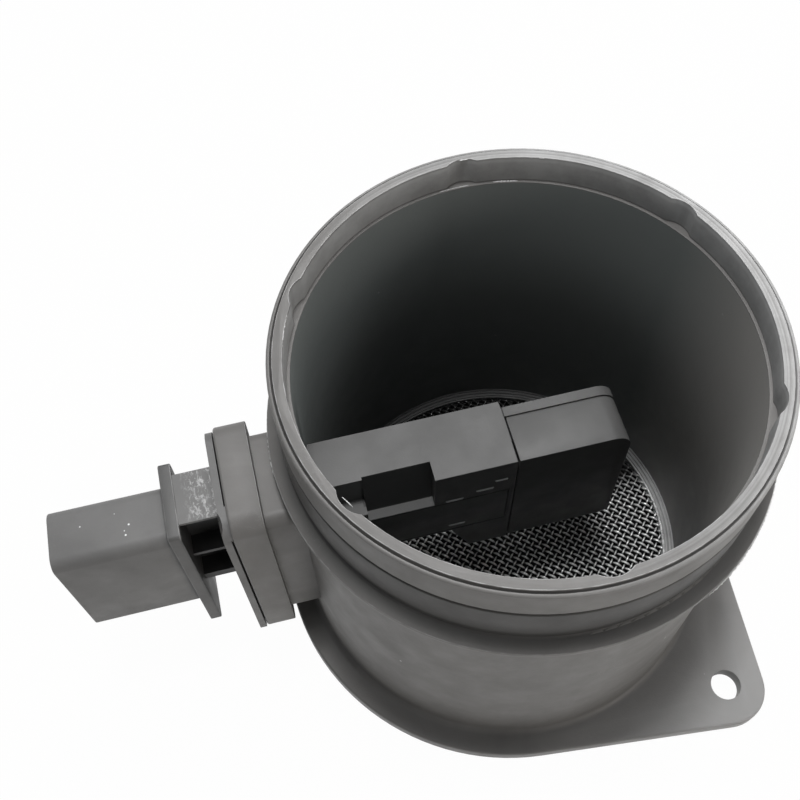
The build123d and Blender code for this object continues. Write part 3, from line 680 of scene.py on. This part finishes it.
def dressed(node, material, edge_width):
    """A copy of a solid with merged faces and rounded, rubbed edges, in place of the solid."""
    work = bmesh.new()
    work.from_mesh(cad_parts[node].data)
    bmesh.ops.remove_doubles(work, verts=work.verts, dist=merge_distance * MM)
    bmesh.ops.dissolve_limit(
        work, angle_limit=math.radians(flat_angle), verts=work.verts, edges=work.edges
    )
    angle = math.radians(sharp_angle)
    rub = work.faces.layers.float.new("rub")
    if edge_width > 0:
        rounded = bmesh.ops.bevel(
            work, geom=closed_corners(work, angle, edge_width * MM), offset=edge_width * MM,
            offset_type="OFFSET", segments=edge_segments, profile=0.5, affect="EDGES",
            clamp_overlap=False, loop_slide=True,
        )
        for face in rounded["faces"]:
            face[rub] = rub_at(node, face.calc_center_median())
    bmesh.ops.recalc_face_normals(work, faces=work.faces)
    mark_sharp(work, angle)
    mesh = mesh_from(work, node + "_dressed")
    mesh.materials.append(material)
    piece = placed(node + "_dressed", mesh)
    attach(piece, "root")
    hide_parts(node)


def keep_solid(node, material):
    """A CAD solid that stays, with its finish."""
    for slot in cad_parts[node].material_slots:
        slot.material = material


def plain_copy(source, name):
    """What a piece's modifiers make, as a plain mesh object."""
    graph = bpy.context.evaluated_depsgraph_get()
    mesh = bpy.data.meshes.new_from_object(source.evaluated_get(graph))
    mesh.name = name
    carrier = source.data
    bpy.data.objects.remove(source)
    bpy.data.meshes.remove(carrier)
    return placed(name, mesh)


def made_by(name, tree, sizes):
    """Runs a geometry tree with its named sizes on an empty mesh."""
    carrier = placed(name + "_maker", bpy.data.meshes.new(name + "_maker"))
    modifier = carrier.modifiers.new("maker", "NODES")
    modifier.node_group = tree
    for item in tree.interface.items_tree:
        if item.item_type == "SOCKET" and item.in_out == "INPUT" and item.name in sizes:
            modifier[item.identifier] = sizes[item.name]
    bpy.context.view_layer.update()
    return plain_copy(carrier, name)


def geometry_tree(name, inputs):
    """An empty geometry tree with named inputs and its geometry output."""
    outputs = (("Geometry", "NodeSocketGeometry"),)
    return new_group("GeometryNodeTree", name, inputs, outputs)


def put_out(tree, result, geometry, material):
    """Shades the geometry smooth, gives it its material and puts it out."""
    smooth = place_node(tree, "GeometryNodeSetShadeSmooth", None, {"Geometry": geometry})
    whole = place_node(tree, "GeometryNodeRealizeInstances", None, {0: smooth.outputs[0]})
    finished = place_node(tree, "GeometryNodeSetMaterial", None, {
        "Geometry": whole.outputs[0], "Material": material,
    })
    tree.links.new(finished.outputs[0], result.inputs[0])


def whole_steps(tree, reach, step):
    """How many whole steps fit in a reach."""
    return math_node(tree, "FLOOR", math_node(tree, "DIVIDE", reach, step))


def along(tree, axis, value):
    """A vector along one axis."""
    return place_node(tree, "ShaderNodeCombineXYZ", None, {axis: value}).outputs[0]


def screen_wires_tree():
    """One set of crimped wires, over and under the other set, cut to a circle."""
    tree, given, result = geometry_tree("screen wires", (
        ("Radius", "NodeSocketFloat", 0.0376), ("Spacing", "NodeSocketFloat", 0.0012),
        ("Crossing", "NodeSocketFloat", 0.0015), ("Wire Radius", "NodeSocketFloat", 0.00027),
        ("Crimp", "NodeSocketFloat", 0.00027), ("Level", "NodeSocketFloat", 0.0025),
        ("Turn", "NodeSocketFloat", 0.0), ("Wire", "NodeSocketMaterial", None),
    ))
    size = given.outputs
    half_wires = whole_steps(tree, size["Radius"], size["Spacing"])
    half_run = whole_steps(tree, size["Radius"], size["Crossing"])
    count = math_node(tree, "ADD", product(tree, half_wires, 2.0), 1.0)
    half_points = product(tree, half_run, 2.0 * points_between_crossings)
    reach = product(tree, half_run, size["Crossing"])
    side = product(tree, half_wires, size["Spacing"])
    line = place_node(tree, "GeometryNodeCurvePrimitiveLine", None, {
        "Start": along(tree, 0, product(tree, reach, -1.0)), "End": along(tree, 0, reach),
    })
    fine = place_node(tree, "GeometryNodeResampleCurve", None, {
        "Curve": line.outputs[0], "Count": math_node(tree, "ADD", half_points, 1.0),
    })
    feet = place_node(tree, "GeometryNodeMeshLine", None, {
        "Count": count, "Start Location": along(tree, 1, product(tree, side, -1.0)),
        "Offset": along(tree, 1, size["Spacing"]),
    })
    copies = place_node(tree, "GeometryNodeInstanceOnPoints", None, {
        "Points": feet.outputs[0], "Instance": fine.outputs[0],
    })
    wires = place_node(tree, "GeometryNodeRealizeInstances", None, {0: copies.outputs[0]})
    spot = tree.nodes.new("GeometryNodeInputPosition")
    parts = place_node(tree, "ShaderNodeSeparateXYZ", None, {0: spot.outputs[0]})
    run = math_node(tree, "DIVIDE", parts.outputs[0], size["Crossing"])
    row = math_node(tree, "ROUND", math_node(tree, "DIVIDE", parts.outputs[1], size["Spacing"]))
    phase = product(tree, math_node(tree, "ADD", run, row), math.pi)
    lift = product(tree, math_node(tree, "COSINE", phase), size["Crimp"])
    crimped = place_node(tree, "GeometryNodeSetPosition", None, {
        "Geometry": wires.outputs[0], "Offset": along(tree, 2, lift),
    })
    far = place_node(tree, "ShaderNodeVectorMath", {"operation": "LENGTH"}, {0: spot.outputs[0]})
    outside = math_node(tree, "GREATER_THAN", far.outputs["Value"], size["Radius"])
    cut = place_node(tree, "GeometryNodeDeleteGeometry", {"domain": "POINT"}, {
        "Geometry": crimped.outputs[0], "Selection": outside,
    })
    section = place_node(tree, "GeometryNodeCurvePrimitiveCircle", None, {
        "Resolution": 5, "Radius": size["Wire Radius"],
    })
    solid = place_node(tree, "GeometryNodeCurveToMesh", None, {
        "Curve": cut.outputs[0], "Profile Curve": section.outputs[0], "Fill Caps": True,
    })
    seated = place_node(tree, "GeometryNodeTransform", None, {
        "Geometry": solid.outputs[0], "Translation": along(tree, 2, size["Level"]),
        "Rotation": along(tree, 2, size["Turn"]),
    })
    put_out(tree, result, seated.outputs[0], size["Wire"])
    return tree


def make_screen(material):
    """The woven wire screen in place of its plain solid, with each set of wires as a piece."""
    tree = screen_wires_tree()
    for name, spacing, crossing, radius, crimp, level, turn in screen_sets:
        piece = made_by(name, tree, {
            "Radius": screen_radius * MM, "Spacing": spacing * MM, "Crossing": crossing * MM,
            "Wire Radius": radius * MM, "Crimp": crimp * MM, "Level": level * MM,
            "Turn": math.radians(turn), "Wire": material,
        })
        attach(piece, "root")
        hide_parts("inlet_screen")


def flash_tree():
    """A thin, uneven thread of plastic along an arc."""
    noise_per_radian = 60.0
    lump_low, lump_high, least_lump, thinnest = 0.38, 0.58, 0.35, 0.05
    end_fade = 8.0
    tree, given, result = geometry_tree("mould flash", (
        ("Radius", "NodeSocketFloat", 0.04), ("Level", "NodeSocketFloat", 0.08),
        ("First Angle", "NodeSocketFloat", 0.0), ("Sweep", "NodeSocketFloat", 1.0),
        ("Thickness", "NodeSocketFloat", 0.0001), ("Steps", "NodeSocketInt", 60),
        ("Seed", "NodeSocketFloat", 0.0), ("Plastic", "NodeSocketMaterial", None),
    ))
    size = given.outputs
    line = place_node(tree, "GeometryNodeCurvePrimitiveLine", None, {
        "Start": (0.0, 0.0, 0.0), "End": (1.0, 0.0, 0.0),
    })
    fine = place_node(tree, "GeometryNodeResampleCurve", None, {
        "Curve": line.outputs[0], "Count": size["Steps"],
    })
    way = tree.nodes.new("GeometryNodeSplineParameter").outputs["Factor"]
    angle = math_node(tree, "ADD", size["First Angle"], product(tree, way, size["Sweep"]))
    seeded = place_node(tree, "ShaderNodeCombineXYZ", None, {
        0: product(tree, angle, noise_per_radian), 1: size["Seed"],
    })
    wander = place_node(tree, "ShaderNodeTexNoise", None, {
        "Vector": seeded.outputs[0], "Scale": 1.0, "Detail": 3.0,
    })
    swing = math_node(tree, "SUBTRACT", wander.outputs[0], 0.5)
    shift = product(tree, swing, product(tree, size["Thickness"], 2.0))
    out = math_node(tree, "ADD", size["Radius"], shift)
    bent = place_node(tree, "ShaderNodeCombineXYZ", None, {
        0: product(tree, math_node(tree, "COSINE", angle), out),
        1: product(tree, math_node(tree, "SINE", angle), out),
        2: math_node(tree, "SUBTRACT", size["Level"], math_node(tree, "ABSOLUTE", shift)),
    })
    arc = place_node(tree, "GeometryNodeSetPosition", None, {
        "Geometry": fine.outputs[0], "Position": bent.outputs[0],
    })
    lumps = place_node(tree, "ShaderNodeTexNoise", None, {
        "Vector": seeded.outputs[0], "Scale": 2.3, "Detail": 4.0,
    })
    fade = product(tree, way, math_node(tree, "SUBTRACT", 1.0, way), end_fade)
    fade = math_node(tree, "MINIMUM", fade, 1.0)
    lump = ramp(tree, lumps.outputs[0], lump_low, lump_high, least_lump, 1.0)
    swell = math_node(tree, "MAXIMUM", product(tree, lump, fade), thinnest)
    body = place_node(tree, "GeometryNodeCurvePrimitiveCircle", None, {
        "Resolution": 6, "Radius": size["Thickness"],
    })
    thread = place_node(tree, "GeometryNodeCurveToMesh", None, {
        "Curve": arc.outputs[0], "Profile Curve": body.outputs[0], "Fill Caps": True,
        "Scale": swell,
    })
    put_out(tree, result, thread.outputs[0], size["Plastic"])
    return tree


def add_flash(material):
    """The threads of flash along rim, ledge and collar."""
    tree = flash_tree()
    for index, (name, radius, level, first, last, thickness) in enumerate(flash_lines):
        steps = max(flash_least_steps, int(abs(last - first) * flash_steps_per_degree))
        piece = made_by(name, tree, {
            "Radius": radius * MM, "Level": level * MM, "First Angle": math.radians(first),
            "Sweep": math.radians(last - first), "Thickness": thickness * MM,
            "Steps": steps, "Seed": flash_seed_step * index, "Plastic": material,
        })
        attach(piece, "root")


def rib_mesh(x0, x1, z):
    """One short rib with sloping ends: wide at its foot, narrow at its crest."""
    work = bmesh.new()
    rings = []
    for depth, half, inset in (
        (rib_sunk, rib_half_foot, 0.0), (-rib_proud, rib_half_crest, rib_end_slope),
    ):
        y = blade_near + depth
        start, end, low, high = x0 + inset, x1 - inset, z - half, z + half
        corners = ((start, low), (end, low), (end, high), (start, high))
        rings.append([work.verts.new((x * MM, y * MM, height * MM)) for x, height in corners])
    foot, crest = rings
    work.faces.new(crest)
    work.faces.new(list(reversed(foot)))
    for index in range(4):
        following = (index + 1) % 4
        work.faces.new((foot[index], foot[following], crest[following], crest[index]))
    bmesh.ops.bevel(
        work, geom=list(work.edges), offset=rib_rounding * MM, offset_type="OFFSET",
        segments=edge_segments, profile=0.5, affect="EDGES", clamp_overlap=True,
    )
    bmesh.ops.recalc_face_normals(work, faces=work.faces)
    return mesh_from(work, "near_side_rib")


def add_ribs(material):
    """The short ribs on the blade's near side."""
    for index, (x0, x1, z) in enumerate(near_side_ribs):
        mesh = rib_mesh(x0, x1, z)
        mesh.materials.append(material)
        piece = placed(f"near_side_rib_{index + 1}", mesh)
        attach(piece, "root")


def make_floor():
    """A wide pale floor that keeps the shadow: white when seen, but with a disc of painted shade
    under the bore.
    """
    mesh = bpy.data.meshes.new("floor")
    corners = ((-1, -1), (1, -1), (1, 1), (-1, 1))
    mesh.from_pydata(
        [(x * floor_reach, y * floor_reach, floor_level) for x, y in corners], [], [(0, 1, 2, 3)]
    )
    material = bpy.data.materials.new("pale floor")
    material.use_nodes = True
    tree = material.node_tree
    tree.nodes.clear()
    output = tree.nodes.new("ShaderNodeOutputMaterial")
    coordinates = tree.nodes.new("ShaderNodeTexCoord")
    away = place_node(tree, "ShaderNodeVectorMath", {"operation": "LENGTH"}, {
        0: coordinates.outputs["Object"],
    })
    clear = ramp(tree, away.outputs["Value"], *painted_shade_disc)
    # Painted shade: the paper near black under the bore, so the screen's holes show dark
    shade = mixed(tree, clear, (0.012, 0.012, 0.012, 1), (0.56, 0.55, 0.53, 1))
    paper = place_node(tree, "ShaderNodeBsdfDiffuse", None, {"Color": shade})
    white = place_node(tree, "ShaderNodeEmission", None, {"Color": (1, 1, 1, 1), "Strength": 1.0})
    path = tree.nodes.new("ShaderNodeLightPath").outputs
    seen = math_node(tree, "MAXIMUM", path["Is Camera Ray"], path["Is Glossy Ray"])
    seen = math_node(tree, "MAXIMUM", seen, path["Is Transmission Ray"])
    share = product(tree, seen, clear, floor_whiteness)
    both = mixed_shaders(tree, share, paper, white)
    tree.links.new(both, output.inputs["Surface"])
    mesh.materials.append(material)
    floor = placed("floor", mesh)


def make_world():
    """An even pale surrounding: white when seen, also through glass, but dim as a light."""
    world = bpy.data.worlds.new("studio")
    world.use_nodes = True
    bpy.context.scene.world = world
    tree = world.node_tree
    tree.nodes.clear()
    output = tree.nodes.new("ShaderNodeOutputWorld")
    path = tree.nodes.new("ShaderNodeLightPath").outputs
    lit = place_node(tree, "ShaderNodeBackground", None, {
        "Color": (0.95, 0.985, 1, 1), "Strength": 0.13,
    })
    seen = place_node(tree, "ShaderNodeBackground", None, {
        "Color": (1, 1, 1, 1), "Strength": 1.0,
    })
    shown = math_node(tree, "MAXIMUM", path["Is Camera Ray"], path["Is Transmission Ray"])
    tree.links.new(mixed_shaders(tree, shown, lit, seen), output.inputs["Surface"])


def add_lamp(name, place, target, size, power, color):
    """A square soft lamp that faces a point."""
    lamp = bpy.data.lights.new(name, "AREA")
    lamp.shape = "SQUARE"
    lamp.size = size
    lamp.energy = power
    lamp.color = color
    turn = (Vector(target) - Vector(place)).to_track_quat("-Z", "Y").to_matrix().to_4x4()
    placed(name, lamp).matrix_world = Matrix.Translation(place) @ turn


def make_camera():
    """The photo's camera."""
    camera = bpy.data.cameras.new("photo_camera")
    camera.sensor_width = film_width
    camera.lens = camera_focal / photo_width * film_width
    camera.clip_start = 0.01
    camera.clip_end = 20.0
    turn = Matrix((camera_right, -Vector(camera_down), -Vector(camera_ahead)))
    holder = placed("photo_camera", camera)
    holder.matrix_world = Matrix.Translation(camera_place) @ turn.transposed().to_4x4()
    bpy.context.scene.camera = holder


def finish_materials():
    """Every finish of the object, by name. Metals and plain bodies end with a roughness."""
    return {
        "housing": housing_plastic(),
        "insert": insert_plastic(),
        # The ribs: pale as rubbed plastic, and paler still as a painted highlight on the shaded
        # near face
        "ribs": plain_body("rubbed and highlit rib plastic", grey(118), grey(150), 0.5),
        "cover": even_plastic(
            "cover plastic", grey(40), grey(50), grey(110), specks=0.01, scuffs=0.2,
            roughness=0.5, grain=0.12
        ),
        "flash": even_plastic(
            "flash plastic", grey(190), grey(235), grey(240), specks=0.0, scuffs=0.1,
            roughness=0.45, grain=0.1
        ),
        "ring": pressed_ring(),
        "wire": screen_wire(),
        "steel": drawn_metal("screw steel", grey(150), grey(185), 0.35),
        "rubber": plain_body("seal rubber", grey(28), grey(38), 0.75),
        "aluminium": drawn_metal("base metal", grey(205), grey(225), 0.35),
        "ceramic": plain_body("board ceramic", grey(198, 0.03), grey(212, 0.03), 0.6),
        "resin": plain_body("chip resin", grey(24), grey(34), 0.55),
        "silicon": plain_body("chip silicon", grey(80), grey(100), 0.2),
        "capacitor": plain_body("capacitor body", (0.3, 0.2, 0.11, 1), (0.4, 0.27, 0.15, 1), 0.5),
        "bead": plain_body("bead glass", (0.03, 0.1, 0.06, 1), (0.05, 0.14, 0.09, 1), 0.15),
        "tin": drawn_metal("terminal tin", grey(200, 0.03), grey(220, 0.03), 0.3),
    }


def build():
    """The object: the dressed mouldings, the screen, the fine detail and the solids that stay."""
    looks = finish_materials()
    dressed("tube_housing", looks["housing"], edge_width=0.15)
    dressed("insert_body", looks["insert"], edge_width=0.22)
    dressed("bypass_cover", looks["insert"], edge_width=0.18)
    dressed("electronics_cover", looks["cover"], edge_width=0.12)
    dressed("screen_ring", looks["ring"], edge_width=0.0)
    make_screen(looks["wire"])
    add_flash(looks["flash"])
    add_ribs(looks["ribs"])
    for node, look in kept_solids.items():
        keep_solid(node, looks[look])
    for index in range(1, capacitor_count + 1):
        keep_solid(f"capacitor_{index}", looks["capacitor"])
    for index in range(1, terminal_count + 1):
        keep_solid(f"terminal_{index}", looks["tin"])
        keep_solid(f"bond_wire_{index}", looks["aluminium"])


build()
make_floor()
make_world()
for lamp_settings in lamps:
    add_lamp(*lamp_settings)
make_camera()
bpy.context.scene.view_settings.view_transform = "Standard"
